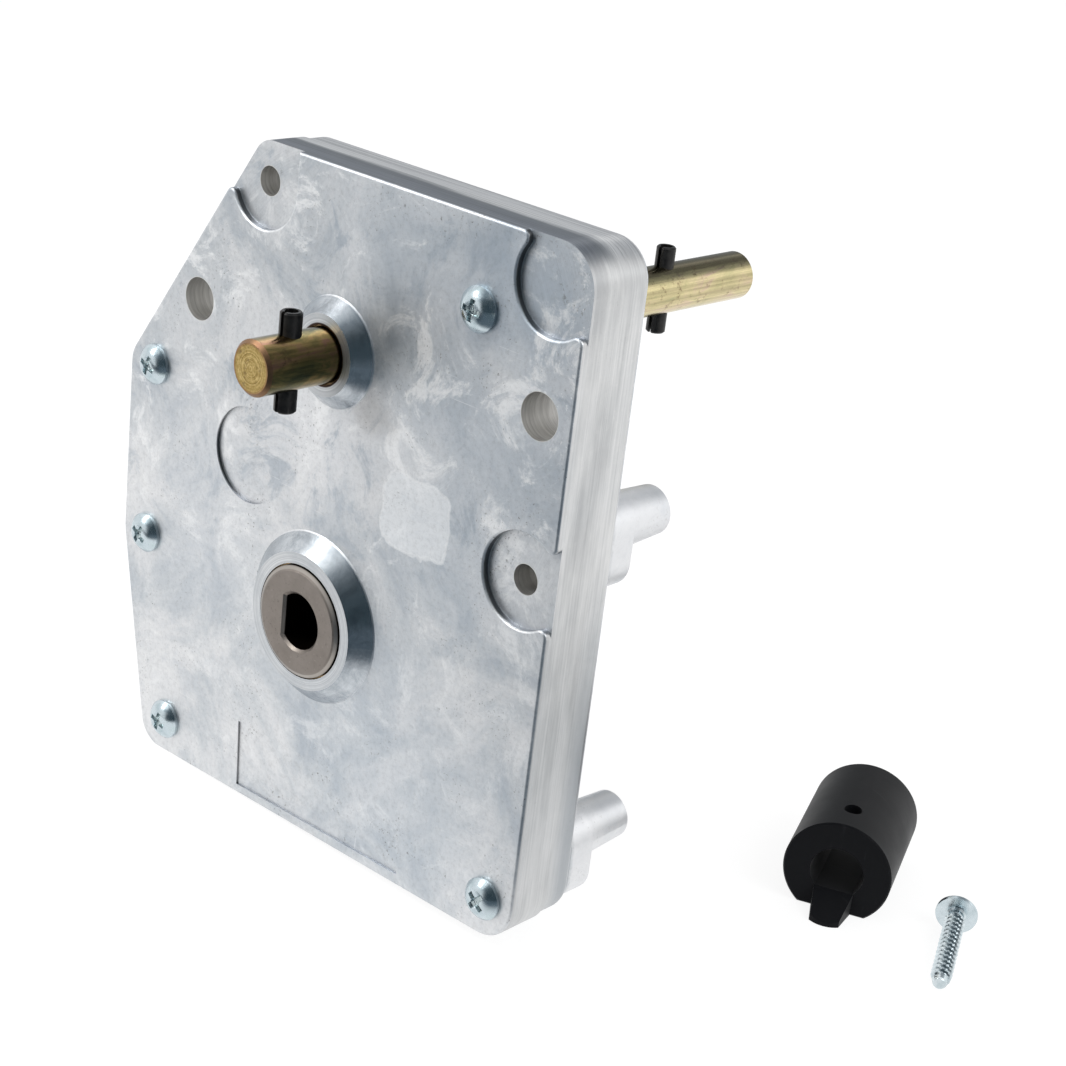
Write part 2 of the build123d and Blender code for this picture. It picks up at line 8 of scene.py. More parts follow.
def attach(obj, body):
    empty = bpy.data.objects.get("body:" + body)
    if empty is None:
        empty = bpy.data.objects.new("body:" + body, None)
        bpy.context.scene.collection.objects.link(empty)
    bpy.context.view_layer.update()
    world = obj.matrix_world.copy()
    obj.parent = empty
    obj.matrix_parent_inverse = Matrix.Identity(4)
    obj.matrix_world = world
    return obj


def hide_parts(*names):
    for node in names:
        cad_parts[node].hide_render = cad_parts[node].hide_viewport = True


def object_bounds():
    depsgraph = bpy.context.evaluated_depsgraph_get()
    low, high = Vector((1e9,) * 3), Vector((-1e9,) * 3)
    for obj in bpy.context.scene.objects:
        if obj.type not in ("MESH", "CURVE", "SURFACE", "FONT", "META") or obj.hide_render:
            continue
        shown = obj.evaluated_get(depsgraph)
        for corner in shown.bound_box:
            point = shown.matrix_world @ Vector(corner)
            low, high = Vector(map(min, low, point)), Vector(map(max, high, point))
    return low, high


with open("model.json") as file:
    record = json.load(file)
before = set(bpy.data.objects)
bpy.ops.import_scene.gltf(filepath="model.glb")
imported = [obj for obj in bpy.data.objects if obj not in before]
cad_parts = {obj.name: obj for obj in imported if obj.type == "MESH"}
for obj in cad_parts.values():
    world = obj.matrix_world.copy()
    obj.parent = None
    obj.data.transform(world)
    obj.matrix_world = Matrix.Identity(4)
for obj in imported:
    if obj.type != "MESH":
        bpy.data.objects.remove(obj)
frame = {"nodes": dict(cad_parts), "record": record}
cad_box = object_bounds()

MM = 0.001
FLOOR_Z = cad_box[0][2]
STUDIO_MIDDLE = (0.0, 0.0, -0.05)

# The view of the photograph: camera place in metres, its right and up directions, and its lens
CAMERA_PLACE = (0.40872, -0.38396, 0.17998)
CAMERA_RIGHT = (0.72423, 0.68056, 0.11109)
CAMERA_UP = (-0.33400, 0.20527, 0.91995)
PHOTO_SIZE = 1066
FOCAL_PIXELS = 2120.0
SENSOR_WIDTH = 36.0

# Housing places, in millimetres as on the cover
HUB_Z = -80.6
HOUSING_DEPTH = 25.4
LAND_DEPTH = 2.2
COVER_RIGHT = 88.0
SHAFT_END_RADIUS = 6.9
SHAFT_GAP_RADIUS = 9.1
HUB_GAP_RADIUS = 17.35
HUB_BOSS_Y = -5.4
HUB_FRONT_Y = -6.5
HUB_EDGE_RADIUS = 15.6
HUB_BORE_RADIUS = 9.0
BOLT_HOLES = [(-33.8, 39.9, 4.25), (-59.0, -1.0, 6.4), (76.9, 5.8, 6.4), (76.9, -39.9, 4.25)]
STAIN_PLACE = (36.5, -36.5)
STAIN_HALF = (12.5, 11.0)
SMUDGE_PLACE = (18.0, -12.0)

# Blue-grey and pale clouds on the cover: x, z and radius in millimetres, and strength
BLUE_PLACES = [
    (28.0, 36.0, 30.0, 0.30),
    (70.0, -8.0, 30.0, 0.42),
    (44.0, 2.0, 26.0, 0.30),
    (58.0, -42.0, 20.0, 0.35),
    (73.0, 32.0, 22.0, 0.85),
    (40.0, -118.0, 42.0, 0.25),
]
PALE_PLACES = [(-50.0, -60.0, 40.0, 0.30), (-8.0, -24.0, 26.0, 0.55), (22.0, -18.0, 22.0, 0.35)]

# Cover screws, in millimetres and degrees
COVER_SCREWS = [(-77.7, -26.7), (52.8, 27.4), (-78.3, -82.1), (-64.4, -141.7), (77.6, -136.0)]
COVER_SCREW_TURNS = [20, 8, 32, 15, 40]
SCREW_HEAD_RADIUS = 6.2
SCREW_HEAD_HEIGHT = 3.7
SCREW_HEAD_RIM = 1.1
SCREW_SHANK_RADIUS = 3.1
COVER_SCREW_LENGTH = 20.0

# Loose screw, in millimetres
ADAPTER_HEAD_RADIUS = 6.25
ADAPTER_SCREW_LENGTH = 34.2
ADAPTER_SCREW_PLACE = (157.9, 121.0)
ADAPTER_SCREW_HEADING = 295.5
THREAD_PITCH = 2.1
THREAD_ROOT = 2.4
RECESS_ARM = 3.1


def set_camera():
    """The photograph's camera, found by fitting it to the housing."""
    data = bpy.data.cameras.new("camera")
    data.sensor_width = SENSOR_WIDTH
    data.lens = FOCAL_PIXELS / PHOTO_SIZE * SENSOR_WIDTH
    data.clip_start = 0.01
    camera = bpy.data.objects.new("camera", data)
    right = Vector(CAMERA_RIGHT).normalized()
    up = Vector(CAMERA_UP).normalized()
    back = right.cross(up)
    turn = Matrix((right, up, back)).transposed()
    camera.matrix_world = Matrix.Translation(CAMERA_PLACE) @ turn.to_4x4()
    bpy.context.scene.collection.objects.link(camera)
    bpy.context.scene.camera = camera


class Paint:
    """A material's node tree, with short ways to add and join its nodes."""

    def __init__(self, name):
        self.material = bpy.data.materials.new(name)
        self.material.use_nodes = True
        self.tree = self.material.node_tree
        self.shader = self.tree.nodes["Principled BSDF"]
        self.output = self.tree.nodes["Material Output"]
        coordinates = self.add("ShaderNodeTexCoord")
        self.place = coordinates.outputs["Object"]
        self.facing = coordinates.outputs["Normal"]

    def add(self, kind, **settings):
        node = self.tree.nodes.new(kind)
        for key, value in settings.items():
            setattr(node, key, value)
        return node

    def feed(self, socket, value):
        if isinstance(value, bpy.types.NodeSocket):
            self.tree.links.new(value, socket)
        else:
            socket.default_value = value

    def math(self, operation, first, second=0.0, third=0.0, clamp=False):
        node = self.add("ShaderNodeMath", operation=operation, use_clamp=clamp)
        for socket, value in zip(node.inputs, (first, second, third)):
            self.feed(socket, value)
        return node.outputs[0]

    def times(self, first, second):
        return self.math("MULTIPLY", first, second)

    def plus(self, first, second):
        return self.math("ADD", first, second)

    def axes(self, vector=None):
        node = self.add("ShaderNodeSeparateXYZ")
        self.feed(node.inputs[0], vector or self.place)
        return node.outputs[0], node.outputs[1], node.outputs[2]

    def stretched(self, scale, turn=(0, 0, 0)):
        node = self.add("ShaderNodeMapping")
        self.feed(node.inputs["Vector"], self.place)
        node.inputs["Rotation"].default_value = Euler([radians(angle) for angle in turn])
        node.inputs["Scale"].default_value = scale
        return node.outputs[0]

    def noise(self, scale, detail=3.0, roughness=0.5, distortion=0.0, vector=None):
        node = self.add("ShaderNodeTexNoise")
        self.feed(node.inputs["Vector"], vector or self.place)
        node.inputs["Scale"].default_value = scale
        node.inputs["Detail"].default_value = detail
        node.inputs["Roughness"].default_value = roughness
        node.inputs["Distortion"].default_value = distortion
        return node.outputs["Fac"]

    def span(self, value, low, high, bottom=0.0, top=1.0):
        """Runs smoothly from bottom to top as value goes from low to high."""
        node = self.add("ShaderNodeMapRange", interpolation_type="SMOOTHSTEP")
        for socket, given in zip(node.inputs, (value, low, high, bottom, top)):
            self.feed(socket, given)
        return node.outputs[0]

    def tones(self, value, stops):
        node = self.add("ShaderNodeValToRGB")
        self.feed(node.inputs[0], value)
        ramp = node.color_ramp
        while len(ramp.elements) < len(stops):
            ramp.elements.new(0.5)
        for element, (at, colour) in zip(ramp.elements, stops):
            element.position = at
            element.color = (*colour, 1.0)
        return node.outputs[0]

    def mix(self, amount, first, second, blend="MIX"):
        node = self.add("ShaderNodeMix", data_type="RGBA", blend_type=blend)
        self.feed(node.inputs[0], amount)
        for socket, value in ((node.inputs[6], first), (node.inputs[7], second)):
            self.feed(socket, value if isinstance(value, bpy.types.NodeSocket) else (*value, 1.0))
        return node.outputs[2]

    def bump(self, height, strength, distance):
        node = self.add("ShaderNodeBump")
        self.feed(node.inputs["Height"], height)
        node.inputs["Strength"].default_value = strength
        node.inputs["Distance"].default_value = distance
        return node.outputs[0]

    def around(self, x_mm, z_mm):
        """Distance in metres from an axis along Y."""
        x, _, z = self.axes()
        dx = self.math("SUBTRACT", x, x_mm * MM)
        dz = self.math("SUBTRACT", z, z_mm * MM)
        return self.math("SQRT", self.plus(self.times(dx, dx), self.times(dz, dz)))

    def finish(self, colour, metallic, roughness, normal=None):
        self.feed(self.shader.inputs["Base Color"], colour)
        self.shader.inputs["Metallic"].default_value = metallic
        self.feed(self.shader.inputs["Roughness"], roughness)
        if normal is not None:
            self.feed(self.shader.inputs["Normal"], normal)
        return self.material


def cast_skin(paint):
    """The colour of the as-cast skin: blue-grey clouds, white wisps, one stain, and fine specks."""
    clouds = paint.noise(24, 8, 0.68, 0.7)
    wisps = paint.noise(46, 9, 0.72, 0.9)
    grey = [
        (0.34, (0.47, 0.51, 0.555)),
        (0.46, (0.62, 0.645, 0.67)),
        (0.56, (0.74, 0.75, 0.765)),
        (0.68, (0.82, 0.825, 0.83)),
    ]
    colour = paint.tones(clouds, grey)
    for x_mm, z_mm, radius_mm, strength in PALE_PLACES:
        patch = soft_patch(paint, x_mm, z_mm, radius_mm, 26)
        colour = paint.mix(paint.times(patch, strength), colour, (0.88, 0.885, 0.90))
    for x_mm, z_mm, radius_mm, strength in BLUE_PLACES:
        patch = soft_patch(paint, x_mm, z_mm, radius_mm, 40)
        colour = paint.mix(paint.times(patch, strength), colour, (0.43, 0.495, 0.565))
    _, _, z = paint.axes()
    upper = paint.span(z, -95 * MM, -20 * MM, 0.40, 1.0)
    white = paint.times(paint.span(wisps, 0.52, 0.64, 0.0, 0.80), upper)
    colour = paint.mix(white, colour, (0.95, 0.955, 0.96))
    dark = paint.times(paint.span(wisps, 0.48, 0.34, 0.0, 0.70), upper)
    colour = paint.mix(dark, colour, (0.40, 0.455, 0.515))
    return stains_and_grain(paint, colour), clouds


def soft_patch(paint, x_mm, z_mm, radius_mm, ragged_mm):
    """A cloud about a place on the cover, with a ragged border."""
    border = paint.times(paint.noise(26, 5, 0.62), ragged_mm * MM)
    away = paint.plus(paint.around(x_mm, z_mm), border)
    return paint.span(away, (radius_mm + 0.8 * ragged_mm) * MM, (0.35 * radius_mm + 0.4 * ragged_mm) * MM)


def stains_and_grain(paint, colour):
    """A pale stain and a dark smudge on the cover, chips by its right edge, fine grain and dark specks."""
    x, y, z = paint.axes()
    on_cover = paint.span(y, 12 * MM, 8 * MM)
    from_x = paint.math("ABSOLUTE", paint.math("SUBTRACT", x, STAIN_PLACE[0] * MM))
    from_z = paint.math("ABSOLUTE", paint.math("SUBTRACT", z, STAIN_PLACE[1] * MM))
    share_x = paint.math("DIVIDE", from_x, STAIN_HALF[0] * MM)
    share_z = paint.math("DIVIDE", from_z, STAIN_HALF[1] * MM)
    squarish = paint.plus(paint.math("POWER", share_x, 3.0), paint.math("POWER", share_z, 3.0))
    reach = paint.math("SQRT", squarish)
    ragged = paint.times(paint.noise(95, 4, 0.6), 0.9)
    border = paint.plus(reach, ragged)
    stain = paint.times(on_cover, paint.span(border, 1.50, 1.44, 0.0, 0.70))
    colour = paint.mix(stain, colour, (0.86, 0.88, 0.90))
    rim = paint.times(paint.span(border, 1.58, 1.51), paint.span(border, 1.40, 1.47))
    rim = paint.times(rim, on_cover)
    colour = paint.mix(paint.times(rim, 0.5), colour, (0.93, 0.94, 0.95))
    smudge = paint.plus(paint.around(*SMUDGE_PLACE), paint.times(paint.noise(90, 4, 0.6), 14 * MM))
    smudged = paint.times(on_cover, paint.span(smudge, 18 * MM, 9 * MM, 0.0, 0.35))
    colour = paint.mix(smudged, colour, (0.36, 0.34, 0.32))
    beside_edge = paint.span(x, (COVER_RIGHT - 10) * MM, (COVER_RIGHT - 2) * MM)
    near_edge = paint.times(beside_edge, paint.span(z, -14 * MM, 4 * MM))
    chips = paint.times(paint.span(paint.noise(420, 4, 0.7), 0.57, 0.62), near_edge)
    colour = paint.mix(paint.times(chips, 0.8), colour, (0.88, 0.89, 0.90))
    grain = paint.noise(620, 5, 0.8)
    greys = [(0.28, (0.80, 0.80, 0.80)), (0.50, (1.0, 1.0, 1.0)), (0.76, (1.08, 1.08, 1.08))]
    speckle = paint.tones(grain, greys)
    colour = paint.mix(0.9, colour, speckle, "MULTIPLY")
    specks = paint.span(paint.noise(1100, 3, 0.6), 0.60, 0.68)
    dirt = paint.times(specks, paint.span(paint.noise(55, 3), 0.50, 0.64))
    return paint.mix(paint.times(dirt, 0.7), colour, (0.18, 0.175, 0.17))


def ground_sides(paint, colour, y, z, facing_y, facing_z):
    """The ground outer wall of both halves, with soft fine streaks along it, painted shade low down and
    towards the bottom, and on the top face painted shade near the front edge with painted light behind it.
    """
    flank = paint.span(paint.math("ABSOLUTE", facing_y), 0.50, 0.25)
    outer = paint.times(flank, paint.span(y, (HOUSING_DEPTH + 0.2) * MM, (HOUSING_DEPTH - 0.2) * MM))
    along_z = paint.noise(1.0, 5, 0.75, 0.0, paint.stretched((90, 1500, 14)))
    broad = paint.noise(1.0, 4, 0.6, 0.0, paint.stretched((14, 120, 22)))
    both = paint.plus(paint.times(along_z, 0.45), paint.times(broad, 0.55))
    greys = [(0.38, (0.46, 0.465, 0.47)), (0.50, (0.60, 0.605, 0.605)), (0.60, (0.72, 0.72, 0.72))]
    side_tone = paint.tones(both, greys)
    # Painted shade: the rear half darker low down, and the whole wall a little darker towards the bottom.
    low_rear_painted_shade = paint.times(paint.span(y, 14.0 * MM, 21.0 * MM), paint.span(z, -20 * MM, -120 * MM))
    side_tone = paint.mix(paint.times(low_rear_painted_shade, 0.75), side_tone, (0.33, 0.36, 0.39))
    low = paint.span(z, -40 * MM, -130 * MM, 0.0, 0.15)
    side_tone = paint.mix(low, side_tone, (0.44, 0.455, 0.475))
    along_x = paint.noise(1.0, 5, 0.75, 0.0, paint.stretched((13, 1300, 90)))
    rise = paint.plus(paint.times(y, 1 / MM), paint.times(broad, 8.0))
    # Painted shade near the front edge of the top face, and painted light behind it.
    top_painted_light_front_to_back = [
        (0.10, (0.27, 0.29, 0.33)),
        (0.40, (0.25, 0.27, 0.30)),
        (0.54, (0.98, 0.98, 0.98)),
        (0.90, (0.86, 0.86, 0.87)),
    ]
    top_tone = paint.tones(paint.span(rise, 0.0, 32.0), top_painted_light_front_to_back)
    top_grain = paint.tones(along_x, [(0.36, (0.62, 0.62, 0.62)), (0.62, (1.30, 1.30, 1.30))])
    top_tone = paint.mix(0.8, top_tone, top_grain, "MULTIPLY")
    side_tone = paint.mix(paint.span(facing_z, 0.55, 0.95), side_tone, top_tone)
    return paint.mix(paint.times(outer, 0.9), colour, side_tone), outer, along_z


def turned_places(paint, colour, y):
    """The machined bosses with their turned rings, a mottled slope round each, and the flat land floors."""
    in_front = paint.span(y, -0.1 * MM, -0.5 * MM)
    floor_start = paint.span(y, (LAND_DEPTH - 0.6) * MM, (LAND_DEPTH - 0.2) * MM)
    floor_end = paint.span(y, (LAND_DEPTH + 0.4) * MM, (LAND_DEPTH + 0.1) * MM)
    floors = paint.times(floor_start, floor_end)
    machined = paint.math("MAXIMUM", in_front, paint.times(floors, 0.22), clamp=True)
    nearest = paint.math("MINIMUM", paint.around(0, 0), paint.around(0, HUB_Z))
    rings = paint.noise(1.0, 3, 0.6, 0.0, radial_vector(paint, nearest, 1900))
    smooth_tone = paint.tones(rings, [(0.36, (0.44, 0.46, 0.48)), (0.62, (0.76, 0.775, 0.79))])
    dull = paint.span(dull_clouds(paint), 0.42, 0.66, 0.0, 0.45)
    smooth_tone = paint.mix(dull, smooth_tone, (0.44, 0.47, 0.50))
    colour = paint.mix(paint.times(machined, 0.8), colour, smooth_tone)
    _, facing_y, _ = paint.axes(paint.facing)
    sloped = paint.times(in_front, paint.span(facing_y, -0.93, -0.86))
    mottling = paint.noise(110, 7, 0.72, 0.5)
    patina = paint.tones(mottling, [(0.38, (0.30, 0.335, 0.37)), (0.60, (0.58, 0.615, 0.65))])
    return paint.mix(paint.times(sloped, 0.85), colour, patina), machined, rings


def dull_clouds(paint):
    """Clouds that dull the machined faces and fray the grease and painted shade round the shaft."""
    return paint.noise(70, 5, 0.65)


def land_walls(paint, colour, y):
    """Painted shade on the low walls round the lands, where they face right."""
    x, _, _ = paint.axes()
    facing_x, _, _ = paint.axes(paint.facing)
    inner = paint.span(x, (COVER_RIGHT - 4.5) * MM, (COVER_RIGHT - 6.0) * MM)
    wall_start = paint.span(y, 0.15 * MM, 0.6 * MM)
    wall_end = paint.span(y, (LAND_DEPTH - 0.05) * MM, (LAND_DEPTH - 0.45) * MM)
    cut_wall = paint.times(wall_start, wall_end)
    # Painted shade on wall faces turned to the right.
    painted_wall_shade = paint.times(paint.times(cut_wall, inner), paint.span(facing_x, 0.10, 0.45))
    return paint.mix(paint.times(painted_wall_shade, 0.88), colour, (0.07, 0.075, 0.08))


def drilled_bores(paint, colour):
    """The bolt holes, with fine turned lines."""
    in_bore = 0.0
    for x_mm, z_mm, radius_mm in BOLT_HOLES:
        inside = paint.span(paint.around(x_mm, z_mm), (radius_mm + 0.25) * MM, radius_mm * MM)
        in_bore = paint.math("MAXIMUM", in_bore, inside)
    drilled = paint.noise(1.0, 4, 0.75, 0.0, paint.stretched((60, 900, 60)))
    bore_tone = paint.tones(drilled, [(0.3, (0.60, 0.59, 0.57)), (0.7, (0.94, 0.93, 0.91))])
    return paint.mix(in_bore, colour, bore_tone), in_bore


def gap_grease_and_painted_shade(paint, colour, y):
    """Dark grease and painted shade in the gaps round the shaft and the hub."""
    ragged = paint.times(dull_clouds(paint), 0.8 * MM)
    from_shaft = paint.plus(paint.around(0, 0), ragged)
    shaft_gap = paint.span(from_shaft, (SHAFT_GAP_RADIUS + 0.4) * MM, SHAFT_GAP_RADIUS * MM)
    behind_lip = paint.span(y, (HUB_BOSS_Y + 0.45) * MM, (HUB_BOSS_Y + 0.7) * MM)
    in_front = paint.span(y, 20 * MM, 16 * MM)
    from_hub = paint.around(0, HUB_Z)
    hub_gap = paint.span(from_hub, (HUB_GAP_RADIUS + 0.25) * MM, HUB_GAP_RADIUS * MM)
    hub_gap = paint.times(hub_gap, paint.times(behind_lip, in_front))
    # Painted shade, with grease, in the gaps round the shaft and the hub.
    grease_and_painted_gap_shade = paint.math("MAXIMUM", shaft_gap, hub_gap)
    return paint.mix(grease_and_painted_gap_shade, colour, (0.05, 0.028, 0.02))


def cast_aluminium():
    """Cloudy die-cast skin, ground round the edge, with machined bosses, bores and recess floors."""
    paint = Paint("cast_aluminium")
    _, y, z = paint.axes()
    _, facing_y, facing_z = paint.axes(paint.facing)
    colour, clouds = cast_skin(paint)
    grain = paint.noise(560, 4, 0.75)
    scratch_a = paint.noise(1.0, 3, 0.6, 0.0, paint.stretched((22, 22, 1100), (0, 38, 0)))
    scratch_b = paint.noise(1.0, 3, 0.6, 0.0, paint.stretched((900, 20, 30), (0, -12, 0)))
    lines = paint.math("MAXIMUM", paint.span(scratch_a, 0.66, 0.71), paint.span(scratch_b, 0.68, 0.73))
    lines = paint.times(lines, paint.span(paint.noise(30, 2), 0.48, 0.62))
    colour = paint.mix(paint.times(lines, 0.45), colour, (0.88, 0.89, 0.90))
    behind = paint.span(y, (HOUSING_DEPTH + 0.2) * MM, (HOUSING_DEPTH + 1.6) * MM)
    colour = paint.mix(paint.times(behind, 0.65), colour, (0.92, 0.92, 0.93))
    colour, outer, streaks = ground_sides(paint, colour, y, z, facing_y, facing_z)
    colour, machined, rings = turned_places(paint, colour, y)
    colour = land_walls(paint, colour, y)
    colour, in_bore = drilled_bores(paint, colour)
    colour = gap_grease_and_painted_shade(paint, colour, y)

    roughness = paint.span(clouds, 0.3, 0.7, 0.42, 0.54)
    roughness = mix_value(paint, outer, roughness, 0.36)
    flat_on = paint.span(facing_y, -0.90, -0.98)
    roughness = mix_value(paint, machined, roughness, mix_value(paint, flat_on, 0.25, 0.46))
    roughness = mix_value(paint, in_bore, roughness, 0.50)
    height = paint.math("SUBTRACT", paint.times(grain, 0.8), paint.times(lines, 0.5))
    plain = paint.math("SUBTRACT", 1.0, paint.math("MAXIMUM", machined, outer))
    height = paint.times(height, plain)
    height = paint.plus(height, paint.times(paint.times(streaks, outer), 0.10))
    height = paint.plus(height, paint.times(paint.times(rings, machined), 0.22))
    return paint.finish(colour, 1.0, roughness, paint.bump(height, 0.3, 0.10 * MM))


def radial_vector(paint, away, scale):
    """A noise vector that changes only with the distance from an axis, for turned rings."""
    node = paint.add("ShaderNodeCombineXYZ")
    paint.feed(node.inputs[0], paint.times(away, scale))
    return node.outputs[0]


def mix_value(paint, amount, first, second):
    node = paint.add("ShaderNodeMix", data_type="FLOAT")
    paint.feed(node.inputs[0], amount)
    paint.feed(node.inputs[2], first)
    paint.feed(node.inputs[3], second)
    return node.outputs[0]


def gold_zinc():
    """Yellow passivated zinc: pale behind, darker on the short front end with deeper tints and a painted dark
    reflection, painted shade along the top near the rear end, and turned end faces.
    """
    paint = Paint("gold_zinc")
    _, y, _ = paint.axes()
    tint = paint.noise(1.0, 5, 0.68, 0.7, paint.stretched((150, 46, 150)))
    pale = [
        (0.26, (0.44, 0.47, 0.28)),
        (0.40, (0.60, 0.54, 0.31)),
        (0.52, (0.70, 0.61, 0.37)),
        (0.64, (0.66, 0.50, 0.40)),
    ]
    deep = [
        (0.34, (0.09, 0.10, 0.055)),
        (0.46, (0.24, 0.20, 0.08)),
        (0.55, (0.42, 0.29, 0.12)),
        (0.64, (0.46, 0.25, 0.17)),
    ]
    # The front end is darker: deeper passivation tints with a painted dark reflection.
    in_front = paint.span(y, 2 * MM, -3 * MM)
    colour = paint.mix(in_front, paint.tones(tint, pale), paint.tones(tint, deep))
    drawn = paint.noise(1.0, 3, 0.6, 0.0, paint.stretched((1100, 22, 1100)))
    lines = paint.tones(drawn, [(0.3, (0.55, 0.53, 0.49)), (0.7, (1.12, 1.10, 1.02))])
    colour = paint.mix(0.7, colour, lines, "MULTIPLY")
    _, facing_y, facing_z = paint.axes(paint.facing)
    # Painted shade along upward-facing surfaces at the rear end of the shaft.
    top_edge = paint.plus(facing_z, paint.times(paint.math("SUBTRACT", tint, 0.5), 0.5))
    painted_dark_top = paint.times(paint.span(top_edge, 0.68, 0.86), paint.span(y, 24 * MM, 27 * MM))
    colour = paint.mix(paint.times(painted_dark_top, 0.8), colour, (0.13, 0.11, 0.065))
    ends = paint.span(paint.math("ABSOLUTE", facing_y), 0.8, 0.95)
    away = paint.around(0, 0)
    rings = paint.noise(1.0, 2, 0.7, 0.0, radial_vector(paint, away, 2600))
    mottle = paint.noise(700, 4, 0.75)
    turned = paint.plus(paint.times(rings, 0.6), paint.times(mottle, 0.4))
    golds = [(0.40, (0.30, 0.20, 0.06)), (0.50, (0.52, 0.37, 0.13)), (0.60, (0.78, 0.61, 0.28))]
    face = paint.tones(turned, golds)
    rust = paint.span(away, (SHAFT_END_RADIUS - 0.9) * MM, SHAFT_END_RADIUS * MM, 0.0, 0.75)
    face = paint.mix(rust, face, (0.34, 0.17, 0.09))
    colour = paint.mix(ends, colour, face)
    at_edge = paint.span(away, (SHAFT_END_RADIUS - 0.1) * MM, (SHAFT_END_RADIUS + 0.1) * MM)
    chamfered = paint.times(paint.span(paint.math("ABSOLUTE", facing_y), 0.35, 0.5), at_edge)
    colour = paint.mix(paint.times(chamfered, 0.8), colour, (0.24, 0.13, 0.08))
    stains = paint.span(paint.noise(240, 5, 0.78), 0.54, 0.68, 0.0, 0.75)
    colour = paint.mix(stains, colour, (0.17, 0.11, 0.06))
    height = mix_value(paint, ends, paint.times(drawn, 0.4), turned)
    roughness = mix_value(paint, ends, 0.20, 0.40)
    roughness = mix_value(paint, chamfered, roughness, 0.42)
    return paint.finish(colour, 1.0, roughness, paint.bump(height, 0.4, 0.06 * MM))


def bright_zinc():
    """Bluish bright zinc plate on the screws, with painted shade down in the cross recess and between the
    threads.
    """
    paint = Paint("bright_zinc")
    wear = paint.noise(240, 4, 0.6)
    blues = [(0.3, (0.56, 0.65, 0.68)), (0.55, (0.74, 0.81, 0.84)), (0.8, (0.66, 0.76, 0.76))]
    colour = paint.tones(wear, blues)
    x, y, z = paint.axes()
    across = paint.math("ABSOLUTE", x)
    along = paint.math("ABSOLUTE", z)
    narrow = paint.math("MINIMUM", across, along)
    wide = paint.math("MAXIMUM", across, along)
    within_arm = paint.span(wide, RECESS_ARM * MM, (RECESS_ARM - 0.2) * MM)
    arms = paint.times(paint.span(narrow, 0.86 * MM, 0.70 * MM), within_arm)
    above = paint.span(y, 0.2 * MM, -0.4 * MM)
    # Painted shade in the cross recess.
    recess_painted_shade = paint.times(arms, above)
    away = paint.around(0, 0)
    colour = paint.mix(paint.times(recess_painted_shade, 0.45), colour, (0.34, 0.40, 0.37))
    tip_start = (ADAPTER_SCREW_LENGTH - 2.2) * MM
    tip_end = (ADAPTER_SCREW_LENGTH - 0.7) * MM
    # Painted shade between the threads of the loose screw.
    below_head = paint.times(paint.span(y, 0.3 * MM, 0.8 * MM), paint.span(y, tip_end, tip_start))
    at_root = paint.span(away, (THREAD_ROOT + 0.45) * MM, (THREAD_ROOT + 0.05) * MM)
    valley_painted_shade = paint.times(at_root, below_head)
    colour = paint.mix(paint.times(valley_painted_shade, 0.30), colour, (0.36, 0.43, 0.47))
    on_head = paint.span(y, 0.1 * MM, -0.1 * MM)
    colour = paint.mix(on_head, colour, (0.78, 0.81, 0.83), "MULTIPLY")
    roughness = paint.span(paint.noise(700, 3), 0.3, 0.7, 0.20, 0.28)
    return paint.finish(colour, 1.0, roughness, paint.bump(paint.noise(1500, 3), 0.15, 0.04 * MM))


def sintered_steel():
    """Warm grey porous face of the hub, polished at its rim, dark with grease and painted shade at its side,
    and with painted shade in its bore.
    """
    paint = Paint("sintered_steel")
    _, y, _ = paint.axes()
    cloud = paint.noise(130, 5, 0.6)
    pores = paint.noise(1000, 5, 0.8)
    greys = [(0.3, (0.215, 0.190, 0.170)), (0.6, (0.275, 0.245, 0.222)), (0.8, (0.33, 0.30, 0.27))]
    colour = paint.tones(cloud, greys)
    colour = paint.mix(paint.span(pores, 0.58, 0.68, 0.0, 0.75), colour, (0.08, 0.07, 0.06))
    colour = paint.mix(paint.span(pores, 0.40, 0.30, 0.0, 0.5), colour, (0.46, 0.43, 0.40))
    away = paint.around(0, HUB_Z)
    at_edge = paint.span(away, HUB_EDGE_RADIUS * MM, (HUB_EDGE_RADIUS + 0.3) * MM)
    edge = paint.times(at_edge, paint.span(y, (HUB_FRONT_Y + 1.3) * MM, (HUB_FRONT_Y + 0.9) * MM))
    colour = paint.mix(paint.times(edge, 0.5), colour, (0.50, 0.47, 0.43))
    # Painted shade, with grease, on the hub's side behind its face, and painted shade deep in its bore.
    at_side = paint.span(away, (HUB_EDGE_RADIUS - 0.6) * MM, HUB_EDGE_RADIUS * MM)
    behind_face = paint.span(y, (HUB_FRONT_Y + 0.6) * MM, (HUB_FRONT_Y + 1.0) * MM)
    side_grease_and_shade = paint.times(at_side, behind_face)
    in_bore = paint.span(away, (HUB_BORE_RADIUS + 0.4) * MM, HUB_BORE_RADIUS * MM)
    bore_painted_shade = paint.times(in_bore, paint.span(y, (HUB_FRONT_Y + 0.9) * MM, (HUB_FRONT_Y + 1.3) * MM))
    colour = paint.mix(paint.math("MAXIMUM", side_grease_and_shade, bore_painted_shade), colour, (0.030, 0.020, 0.015))
    roughness = paint.span(cloud, 0.3, 0.8, 0.40, 0.52)
    roughness = mix_value(paint, edge, roughness, 0.30)
    return paint.finish(colour, 1.0, roughness, paint.bump(pores, 0.35, 0.05 * MM))


